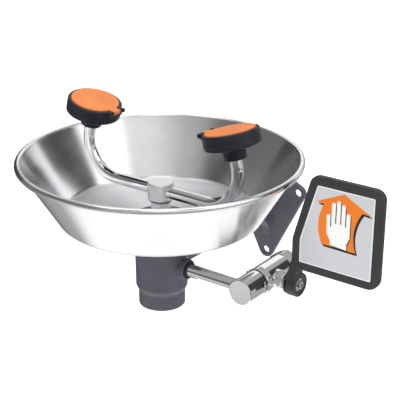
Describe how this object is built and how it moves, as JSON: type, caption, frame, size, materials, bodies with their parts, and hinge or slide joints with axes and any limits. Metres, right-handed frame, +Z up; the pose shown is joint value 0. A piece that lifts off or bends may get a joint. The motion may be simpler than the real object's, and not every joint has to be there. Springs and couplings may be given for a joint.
{
  "type": "eye wash station",
  "caption": "Wall-mounted eye and face wash: steel bowl on a cast bracket, two covered spray heads on bent arms, and a ball valve opened by a push handle",
  "frame": {"origin": "midway between the two upper wall bolt holes, on the wall's face", "axes": "+Y points into the wall, +Z is up, +X is the user's right, where the push handle is"},
  "size_m": [0.3826, 0.352, 0.2375],
  "materials": {
    "slate_coat": "powder coat, fine texture",
    "bowl_steel": "satin polished, spun",
    "chrome_tube": "polished",
    "tee_satin": "satin cast",
    "valve_chrome": "polished and satin",
    "valve_inner": "machined",
    "ball_chrome": "polished",
    "black_rubber": "moulded",
    "seat_white": "machined",
    "head_slate": "moulded, fine texture",
    "filter_foam": "open foam",
    "spray_grey": "moulded",
    "cover_orange": "moulded, satin",
    "pin_black": "moulded",
    "handle_charcoal": "moulded, fine texture",
    "label_grey": "printed, satin",
    "screw_steel": "bright"
  },
  "bodies": {
    "station": {"wall_bracket": "slate_coat", "bowl": "bowl_steel", "bowl_gasket": "black_rubber", "drain_flange": "slate_coat", "pipe_seal": "black_rubber", "supply_pipe": "chrome_tube", "riser_elbow": "valve_inner", "riser_pipe": "valve_inner", "tee_nut": "tee_satin", "centre_tee": "tee_satin", "outlet_elbow": "valve_chrome", "joint_seal": "black_rubber", "valve_body": "valve_chrome", "inlet_end": "valve_chrome", "seat_front": "seat_white", "seat_rear": "seat_white", "stem_packing": "seat_white", "packing_nut": "valve_chrome", "stop_plate": "screw_steel", "arm_tube_left": "chrome_tube", "head_base_left": "head_slate", "head_ring_left": "head_slate", "head_filter_left": "filter_foam", "spray_plate_left": "spray_grey", "flow_regulator_left": "seat_white", "hinge_pin_left": "pin_black", "arm_tube_right": "chrome_tube", "head_base_right": "head_slate", "head_ring_right": "head_slate", "head_filter_right": "filter_foam", "spray_plate_right": "spray_grey", "flow_regulator_right": "seat_white", "hinge_pin_right": "pin_black"},
    "handle": {"push_handle": "handle_charcoal", "label_plate": "label_grey", "hub_washer": "screw_steel", "hub_screw": "screw_steel", "valve_stem": "screw_steel", "valve_ball": "ball_chrome"},
    "cover_left": {"dust_cover_left": "cover_orange"},
    "cover_right": {"dust_cover_right": "cover_orange"}
  },
  "joints": [
    {"name": "cover_left_hinge", "type": "hinge", "parent": "station", "child": "cover_left", "pos_m": [-0.05719, -0.206, 0.12982], "axis": [0, 1, 0], "range_deg": [0, 120]},
    {"name": "cover_right_hinge", "type": "hinge", "parent": "station", "child": "cover_right", "pos_m": [0.05719, -0.206, 0.12982], "axis": [0, -1, 0], "range_deg": [0, 120]},
    {"name": "handle_pivot", "type": "hinge", "parent": "station", "child": "handle", "pos_m": [0.1075, -0.1673, -0.0224], "axis": [-1, 0, 0], "range_deg": [0, 90]}
  ]
}
